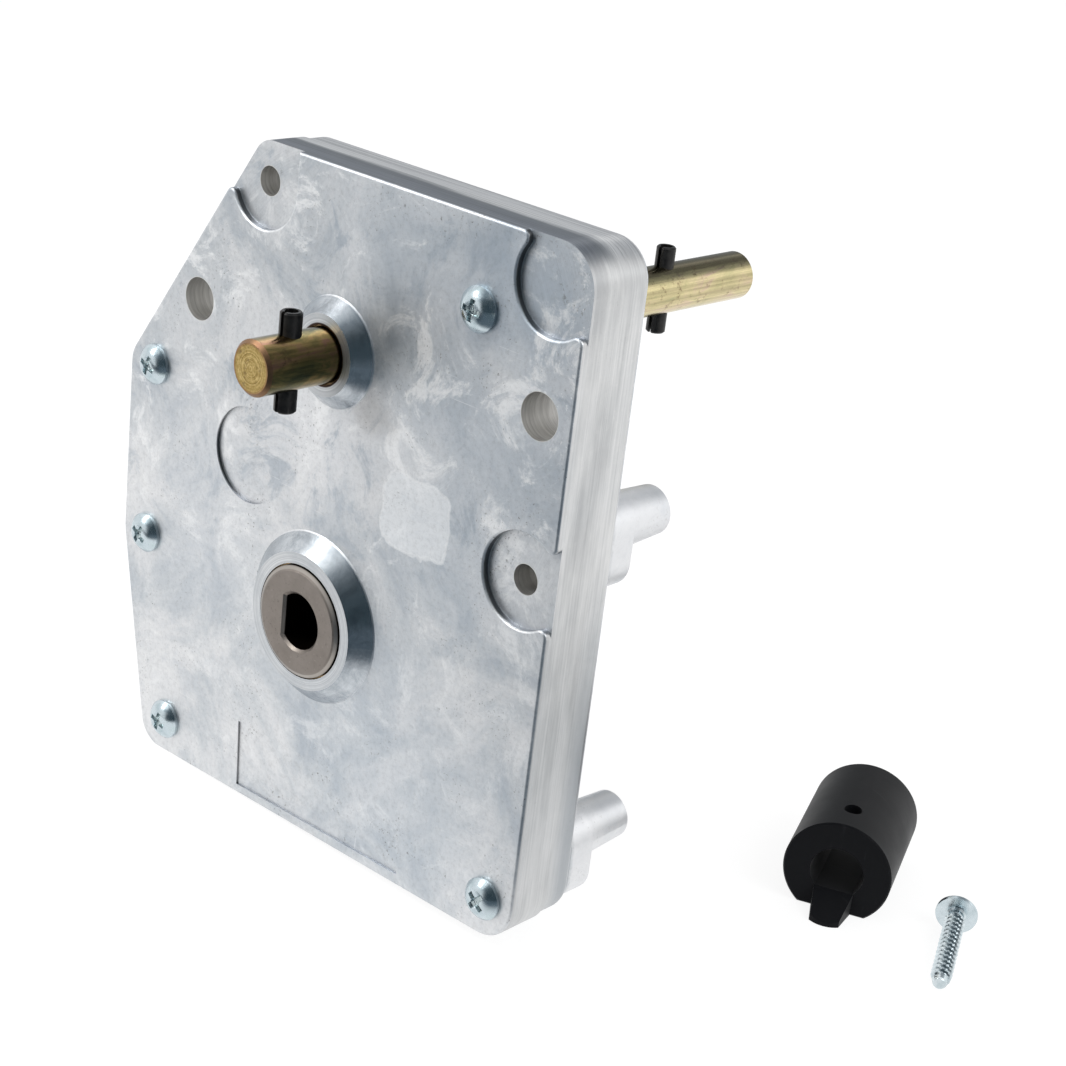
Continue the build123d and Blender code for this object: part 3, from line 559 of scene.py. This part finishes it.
def black_oxide():
    """Black oxide with faint bright scuffs along the pins."""
    paint = Paint("black_oxide")
    cloud = paint.noise(500, 4, 0.6)
    colour = paint.tones(cloud, [(0.3, (0.012, 0.012, 0.013)), (0.7, (0.035, 0.034, 0.033))])
    lengthwise = paint.noise(1.0, 3, 0.6, 0.0, paint.stretched((1500, 1500, 90)))
    scuffs = paint.span(lengthwise, 0.66, 0.74, 0.0, 0.5)
    colour = paint.mix(scuffs, colour, (0.20, 0.19, 0.18))
    roughness = paint.span(cloud, 0.3, 0.7, 0.30, 0.45)
    return paint.finish(colour, 0.7, roughness, paint.bump(cloud, 0.2, 0.05 * MM))


def black_plastic():
    """Moulded matte plastic with a fine grain and faint rub marks."""
    paint = Paint("black_plastic")
    cloud = paint.noise(70, 4, 0.6)
    grain = paint.noise(2600, 3, 0.6)
    colour = paint.tones(cloud, [(0.3, (0.003, 0.0035, 0.005)), (0.7, (0.006, 0.0065, 0.008))])
    rubs = paint.noise(1.0, 4, 0.6, 0.3, paint.stretched((60, 900, 60), (0, 0, 22)))
    colour = paint.mix(paint.span(rubs, 0.62, 0.75, 0.0, 0.30), colour, (0.035, 0.036, 0.038))
    roughness = paint.span(cloud, 0.3, 0.7, 0.40, 0.50)
    paint.shader.inputs["Specular IOR Level"].default_value = 0.07
    paint.shader.inputs["Sheen Weight"].default_value = 0.10
    return paint.finish(colour, 0.0, roughness, paint.bump(grain, 0.25, 0.04 * MM))


def plain_metal(name, dark, light, rough_low, rough_high, grain):
    """Machined or ground metal inside the housing."""
    paint = Paint(name)
    cloud = paint.noise(120, 4, 0.6)
    marks = paint.noise(grain, 3, 0.6)
    colour = paint.tones(cloud, [(0.3, dark), (0.7, light)])
    roughness = paint.span(marks, 0.3, 0.7, rough_low, rough_high)
    return paint.finish(colour, 1.0, roughness, paint.bump(marks, 0.2, 0.04 * MM))


def gasket_sheet():
    """Thin grey fibre sheet."""
    paint = Paint("gasket_sheet")
    fibre = paint.noise(900, 4, 0.7)
    colour = paint.tones(fibre, [(0.3, (0.22, 0.22, 0.225)), (0.7, (0.32, 0.32, 0.32))])
    roughness = paint.span(fibre, 0.3, 0.7, 0.6, 0.8)
    return paint.finish(colour, 0.0, roughness, paint.bump(fibre, 0.15, 0.03 * MM))


def make_materials():
    return {
        "cast_aluminium": cast_aluminium(),
        "gold_zinc": gold_zinc(),
        "bright_zinc": bright_zinc(),
        "sintered_steel": sintered_steel(),
        "black_oxide": black_oxide(),
        "black_plastic": black_plastic(),
        "gasket_sheet": gasket_sheet(),
        "gear_steel": plain_metal("gear_steel", (0.33, 0.33, 0.34), (0.48, 0.48, 0.49), 0.28, 0.42, 1400),
        "hard_steel": plain_metal("hard_steel", (0.46, 0.46, 0.47), (0.60, 0.60, 0.61), 0.20, 0.34, 1800),
        "bronze": plain_metal("bronze", (0.50, 0.34, 0.18), (0.68, 0.50, 0.28), 0.32, 0.46, 1500),
    }


def dress_nodes(materials):
    """Every CAD node gets the material of its slot."""
    for entry in frame["record"]["subparts"]:
        node = frame["nodes"][entry["node"]]
        node.data.materials.clear()
        node.data.materials.append(materials[entry["material_slot"]])


def new_piece(name, points, faces, material):
    mesh = bpy.data.meshes.new(name)
    mesh.from_pydata(points, [], faces)
    mesh.validate()
    mesh.materials.append(material)
    piece = bpy.data.objects.new(name, mesh)
    bpy.context.scene.collection.objects.link(piece)
    mesh.shade_smooth()
    mesh.set_sharp_from_angle(angle=radians(32))
    return piece


def lathe(rings, steps):
    """Points and faces of a closed turned shape; a ring is a function from an angle to a point."""
    points = []
    faces = []
    for ring_at in rings:
        for step in range(steps):
            points.append(ring_at(2 * pi * step / steps))
    for row in range(len(rings) - 1):
        for step in range(steps):
            after = (step + 1) % steps
            low = row * steps
            high = low + steps
            faces.append((low + step, low + after, high + after, high + step))
    faces.append(tuple(reversed(range(steps))))
    last = (len(rings) - 1) * steps
    faces.append(tuple(range(last, last + steps)))
    return points, faces


def step_between(value, low, high):
    """0 below low and 1 above high, smooth between them."""
    share = min(1.0, max(0.0, (value - low) / (high - low)))
    return share * share * (3 - 2 * share)


def recess_depth(u, v):
    """Depth of a cross recess at a place on the screw's head, in millimetres."""
    half_width = 0.66
    wall = 0.16
    deepest = 1.2
    depth = 0.0
    for along, across in ((abs(u), abs(v)), (abs(v), abs(u))):
        inside = 1 - step_between(across, half_width, half_width + wall)
        reach = 1 - step_between(along, RECESS_ARM - wall, RECESS_ARM)
        depth = max(depth, inside * reach * (deepest - 0.15 * along))
    corner = 1 - step_between(hypot(u, v), 1.25, 1.25 + 2 * wall)
    return max(depth, corner * (deepest - 0.1))


def screw_rings(head_radius, length, threaded):
    """The turned rings of a pan-head screw, from the recess's middle round the head to the tip."""
    rings = []

    def head_top(radius):
        share = radius / head_radius
        flat_share = 0.30
        rise = 1.0 if share < flat_share else 1 - ((share - flat_share) / (1 - flat_share)) ** 2.2
        return SCREW_HEAD_RIM + (SCREW_HEAD_HEIGHT - SCREW_HEAD_RIM) * rise

    def top_ring(radius):
        def ring_at(angle):
            u = radius * cos(angle)
            v = radius * sin(angle)
            return (u, recess_depth(u, v) - head_top(radius), v)
        return ring_at

    def plain_ring(radius, along):
        return lambda angle: (radius * cos(angle), along, radius * sin(angle))

    def thread_ring(along):
        def ring_at(angle):
            turn = (along / THREAD_PITCH - angle / (2 * pi)) % 1.0
            ridge = max(0.0, 1 - abs(turn - 0.5) / 0.26)
            fade = step_between(along, 1.2, 3.2) * (1 - step_between(along, length - 3.4, length - 0.8))
            taper = step_between(along, length - 5.0, length) * 0.35
            radius = THREAD_ROOT - taper + (SCREW_SHANK_RADIUS - THREAD_ROOT) * ridge * fade
            return (radius * cos(angle), along, radius * sin(angle))
        return ring_at

    fine = 0.075
    radius = 0.02
    recess_end = RECESS_ARM + 0.15
    while radius < recess_end:
        rings.append(top_ring(radius))
        radius += fine
    coarse = 14
    for step in range(coarse + 1):
        rings.append(top_ring(recess_end + (head_radius - recess_end) * step / coarse))
    rings.append(plain_ring(head_radius + 0.02, -0.55 * SCREW_HEAD_RIM))
    rings.append(plain_ring(head_radius - 0.12, -0.06))
    rings.append(plain_ring(head_radius - 0.35, 0.0))
    if threaded:
        rings.append(plain_ring(THREAD_ROOT + 0.5, 0.0))
        rings.append(plain_ring(THREAD_ROOT, 0.5))
        slices = int((length - 1.0) / 0.15)
        for step in range(slices + 1):
            rings.append(thread_ring(0.7 + (length - 1.2) * step / slices))
        rings.append(plain_ring(THREAD_ROOT - 0.65, length))
    else:
        rings.append(plain_ring(SCREW_SHANK_RADIUS, 0.0))
        rings.append(plain_ring(SCREW_SHANK_RADIUS, length - 0.8))
        rings.append(plain_ring(SCREW_SHANK_RADIUS - 0.8, length))
    return rings


def make_screw(name, head_radius, length, threaded, place, material):
    """A pan-head screw with a cross recess, drawn about its own axis; place is a matrix in millimetres."""
    steps = 128
    points, faces = lathe(screw_rings(head_radius, length, threaded), steps)
    points = [Vector(point) * MM for point in points]
    screw = new_piece(name, points, faces, material)
    spot = place.to_translation() * MM
    screw.matrix_world = Matrix.Translation(spot) @ place.to_3x3().to_4x4()
    return screw


def make_cover_screws(material):
    """The five cover screws, each at its own angle of turn."""
    screws = []
    for number, ((x, z), turn) in enumerate(zip(COVER_SCREWS, COVER_SCREW_TURNS), 1):
        place = Matrix.Translation((x, 0, z)) @ Matrix.Rotation(radians(turn), 4, "Y")
        name = f"cover_screw_{number}"
        screw = make_screw(name, SCREW_HEAD_RADIUS, COVER_SCREW_LENGTH, False, place, material)
        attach(screw, "housing")
        screws.append(screw)
    for screw in screws:
        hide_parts("cover_screws")


def make_adapter_screw(material):
    """The loose screw with its thread, resting on its head's rim and its tip."""
    tilt = atan2(ADAPTER_HEAD_RADIUS - SCREW_SHANK_RADIUS, ADAPTER_SCREW_LENGTH)
    x, y = ADAPTER_SCREW_PLACE
    place = (
        Matrix.Translation((x, y, FLOOR_Z / MM + ADAPTER_HEAD_RADIUS * cos(tilt)))
        @ Matrix.Rotation(radians(ADAPTER_SCREW_HEADING - 90), 4, "Z")
        @ Matrix.Rotation(-tilt, 4, "X")
    )
    name = "adapter_screw_threaded"
    screw = make_screw(name, ADAPTER_HEAD_RADIUS, ADAPTER_SCREW_LENGTH, True, place, material)
    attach(screw, "loose_screw")
    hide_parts("adapter_screw")


def flat_sheet(name, corners, material):
    mesh = bpy.data.meshes.new(name)
    mesh.from_pydata(corners, [], [tuple(range(len(corners)))])
    mesh.materials.append(material)
    sheet = bpy.data.objects.new(name, mesh)
    bpy.context.scene.collection.objects.link(sheet)
    return sheet


def seen_or_mirrored(paint):
    """1 for camera, glossy and transmission rays."""
    path = paint.add("ShaderNodeLightPath")
    seen = paint.math("MAXIMUM", path.outputs["Is Camera Ray"], path.outputs["Is Glossy Ray"])
    return paint.math("MAXIMUM", seen, path.outputs["Is Transmission Ray"])


def floor_material():
    """Pale floor that shows white but keeps a soft shadow."""
    paint = Paint("pale_floor")
    haze = paint.noise(3, 2)
    paint.finish(paint.tones(haze, [(0.3, (0.93, 0.93, 0.93)), (0.7, (0.96, 0.96, 0.96))]), 0.0, 0.9)
    glow = paint.add("ShaderNodeEmission")
    glow.inputs["Strength"].default_value = 1.12
    both = paint.add("ShaderNodeMixShader")
    paint.feed(both.inputs[0], paint.times(seen_or_mirrored(paint), 0.78))
    paint.feed(both.inputs[1], paint.shader.outputs[0])
    paint.feed(both.inputs[2], glow.outputs[0])
    paint.feed(paint.output.inputs["Surface"], both.outputs[0])
    return paint.material


def card_material(name, near, far, strength=1.0):
    """A studio card that glows softly from one tone to another along X and fades out at its rim."""
    paint = Paint(name)
    across = paint.add("ShaderNodeTexCoord").outputs["Generated"]
    u, v, _ = paint.axes(across)
    haze = paint.noise(4, 3)
    tone = paint.mix(paint.span(paint.plus(u, paint.times(haze, 0.2)), 0.2, 0.7), near, far)
    inward = paint.times(rim_fade(paint, u), rim_fade(paint, v))
    return glowing_card(paint, tone, strength, inward)


def glowing_card(paint, tone, strength, inward):
    """Ends a card's material: a glow where inward is 1, and nothing where it is 0."""
    glow = paint.add("ShaderNodeEmission")
    glow.inputs["Strength"].default_value = strength
    paint.feed(glow.inputs["Color"], tone if isinstance(tone, bpy.types.NodeSocket) else (*tone, 1.0))
    clear = paint.add("ShaderNodeBsdfTransparent")
    both = paint.add("ShaderNodeMixShader")
    paint.feed(both.inputs[0], inward)
    paint.feed(both.inputs[1], clear.outputs[0])
    paint.feed(both.inputs[2], glow.outputs[0])
    paint.feed(paint.output.inputs["Surface"], both.outputs[0])
    return paint.material


def only_mirrored(sheet):
    """Hides a sheet from the camera, from diffuse light and from shadows, so that only reflections see it."""
    sheet.visible_camera = False
    sheet.visible_diffuse = False
    sheet.visible_shadow = False
    return sheet


def rim_fade(paint, share):
    """0 at both ends of a card's side and 1 in its middle."""
    from_middle = paint.math("ABSOLUTE", paint.math("SUBTRACT", share, 0.5))
    return paint.span(from_middle, 0.5, 0.38)


def card(name, middle, width_way, height_way, near, far, strength=1.0):
    """A rectangular card that only reflections see; its ways are half its width and half its height."""
    middle, width_way, height_way = Vector(middle), Vector(width_way), Vector(height_way)
    mesh = bpy.data.meshes.new(name)
    corners = [(-1, -1, 0), (1, -1, 0), (1, 1, 0), (-1, 1, 0)]
    mesh.from_pydata(corners, [], [(0, 1, 2, 3)])
    mesh.materials.append(card_material(name, near, far, strength))
    sheet = bpy.data.objects.new(name, mesh)
    normal = width_way.cross(height_way).normalized()
    turn = Matrix((width_way, height_way, normal)).transposed().to_4x4()
    sheet.matrix_world = Matrix.Translation(middle) @ turn
    bpy.context.scene.collection.objects.link(sheet)
    return only_mirrored(sheet)


def make_stage():
    """Pale floor, and cards that only reflections see: in front, behind, on the floor, round the camera."""
    reach = 2.5
    ways = [(-reach, -reach), (reach, -reach), (reach, reach), (-reach, reach)]
    flat_sheet("floor", [(x, y, FLOOR_Z) for x, y in ways], floor_material())
    low = FLOOR_Z + 1 * MM
    dark = (0.040, 0.062, 0.076)
    teal = (0.12, 0.155, 0.185)
    slate = (0.045, 0.06, 0.075)
    dusk = (0.30, 0.32, 0.34)
    steel = (0.24, 0.285, 0.32)
    mist = (0.30, 0.345, 0.385)
    floor_card("front_floor_card", (0.103, -0.013, low), (0.65, 0.76), teal)
    card("left_floor_card", (-0.30, -0.75, low), (0.55, 0.18, 0), (-0.13, 0.42, 0), mist, slate)
    cap_card("camera_side", (0.66, -0.62, 0.15), 1.1, 58, dark)
    cap_card("rear_left", (-0.66, 0.72, 0.22), 1.1, 30, dusk)
    cap_card("over_front", (-0.05, -0.60, 0.80), 1.1, 33, steel)
    cap_card("rear_top", (0.05, 0.72, 0.68), 1.1, 27, dusk)
    white = (1, 1, 1)
    card("bright_strip", (0.68, 0.81, 0.32), (0.26, -0.22, 0), (-0.03, -0.04, 0.08), white, white, 1.4)


def floor_card(name, corner, way, tone):
    """A wide sheet on the floor, right of a line through a corner, that fades out at all four sides."""
    back, ahead, inner, outer = -0.9, 0.30, -0.04, 1.2
    full_back, full_ahead, full_inner, full_outer = -0.6, 0.08, 0.035, 0.9
    fade_start = -0.03
    mesh = bpy.data.meshes.new(name)
    corners = [(back, inner, 0), (ahead, inner, 0), (ahead, outer, 0), (back, outer, 0)]
    mesh.from_pydata(corners, [], [(0, 1, 2, 3)])
    paint = Paint(name)
    x, y, _ = paint.axes()
    inward = paint.times(paint.span(y, fade_start, full_inner), paint.span(y, outer, full_outer))
    lengthwise = paint.times(paint.span(x, ahead, full_ahead), paint.span(x, back, full_back))
    mesh.materials.append(glowing_card(paint, tone, 1.0, paint.times(inward, lengthwise)))
    sheet = bpy.data.objects.new(name, mesh)
    along = Vector((*way, 0)).normalized()
    across = Vector((along.y, -along.x, 0))
    turn = Matrix((along, across, along.cross(across))).transposed().to_4x4()
    sheet.matrix_world = Matrix.Translation(corner) @ turn
    bpy.context.scene.collection.objects.link(sheet)
    return only_mirrored(sheet)


def cap_card(name, way, radius, half_angle, tone):
    """A round piece of a sphere about the object, that only reflections see, fading out at its rim."""
    rows, steps = 10, 40
    points = [(0, 0, radius)]
    for row in range(1, rows + 1):
        tilt = radians(half_angle) * row / rows
        for step in range(steps):
            turn = 2 * pi * step / steps
            out = radius * sin(tilt)
            points.append((out * cos(turn), out * sin(turn), radius * cos(tilt)))
    faces = [(0, 1 + step, 1 + (step + 1) % steps) for step in range(steps)]
    for row in range(rows - 1):
        for step in range(steps):
            after = (step + 1) % steps
            low = 1 + row * steps
            high = low + steps
            faces.append((low + step, high + step, high + after, low + after))
    mesh = bpy.data.meshes.new(name)
    mesh.from_pydata(points, [], faces)
    mesh.materials.append(cap_material(name, radius, half_angle, tone))
    sheet = bpy.data.objects.new(name, mesh)
    turn = Vector(way).to_track_quat("Z", "Y").to_matrix().to_4x4()
    sheet.matrix_world = Matrix.Translation(STUDIO_MIDDLE) @ turn
    bpy.context.scene.collection.objects.link(sheet)
    return only_mirrored(sheet)


def cap_material(name, radius, half_angle, tone):
    paint = Paint(name)
    _, _, z = paint.axes()
    height = paint.math("DIVIDE", z, radius)
    inward = paint.span(height, cos(radians(half_angle)), cos(radians(half_angle * 0.55)))
    return glowing_card(paint, tone, 1.0, inward)


def area_light(name, place, target, size, power, colour=(1, 1, 1)):
    data = bpy.data.lights.new(name, "AREA")
    data.shape = "DISK"
    data.size = size
    data.energy = power
    data.color = colour
    light = bpy.data.objects.new(name, data)
    light.location = place
    light.rotation_euler = (Vector(target) - Vector(place)).to_track_quat("-Z", "Y").to_euler()
    bpy.context.scene.collection.objects.link(light)


def make_lights():
    """One large key from the upper left front, a weak fill from the right, and a pale world."""
    area_light("key", (-0.55, -0.75, 0.85), STUDIO_MIDDLE, 0.55, 9.0, (1.0, 0.99, 0.97))
    area_light("fill", (0.9, 0.1, 0.7), STUDIO_MIDDLE, 0.6, 3.0, (0.96, 0.98, 1.0))
    world = bpy.data.worlds.new("studio")
    world.use_nodes = True
    bpy.context.scene.world = world
    tree = world.node_tree
    ground = tree.nodes["Background"]
    path = tree.nodes.new("ShaderNodeLightPath")
    seen = tree.nodes.new("ShaderNodeMath")
    seen.operation = "MAXIMUM"
    tree.links.new(path.outputs["Is Camera Ray"], seen.inputs[0])
    tree.links.new(path.outputs["Is Glossy Ray"], seen.inputs[1])
    also = tree.nodes.new("ShaderNodeMath")
    also.operation = "MAXIMUM"
    tree.links.new(seen.outputs[0], also.inputs[0])
    tree.links.new(path.outputs["Is Transmission Ray"], also.inputs[1])
    level = tree.nodes.new("ShaderNodeMapRange")
    level.inputs["To Min"].default_value = 0.62
    level.inputs["To Max"].default_value = 1.0
    tree.links.new(also.outputs[0], level.inputs["Value"])
    tree.links.new(level.outputs[0], ground.inputs["Strength"])
    ground.inputs["Color"].default_value = (1, 1, 1, 1)


set_camera()
materials = make_materials()
dress_nodes(materials)
make_cover_screws(materials["bright_zinc"])
make_adapter_screw(materials["bright_zinc"])
make_stage()
make_lights()
bpy.context.scene.view_settings.view_transform = "Standard"
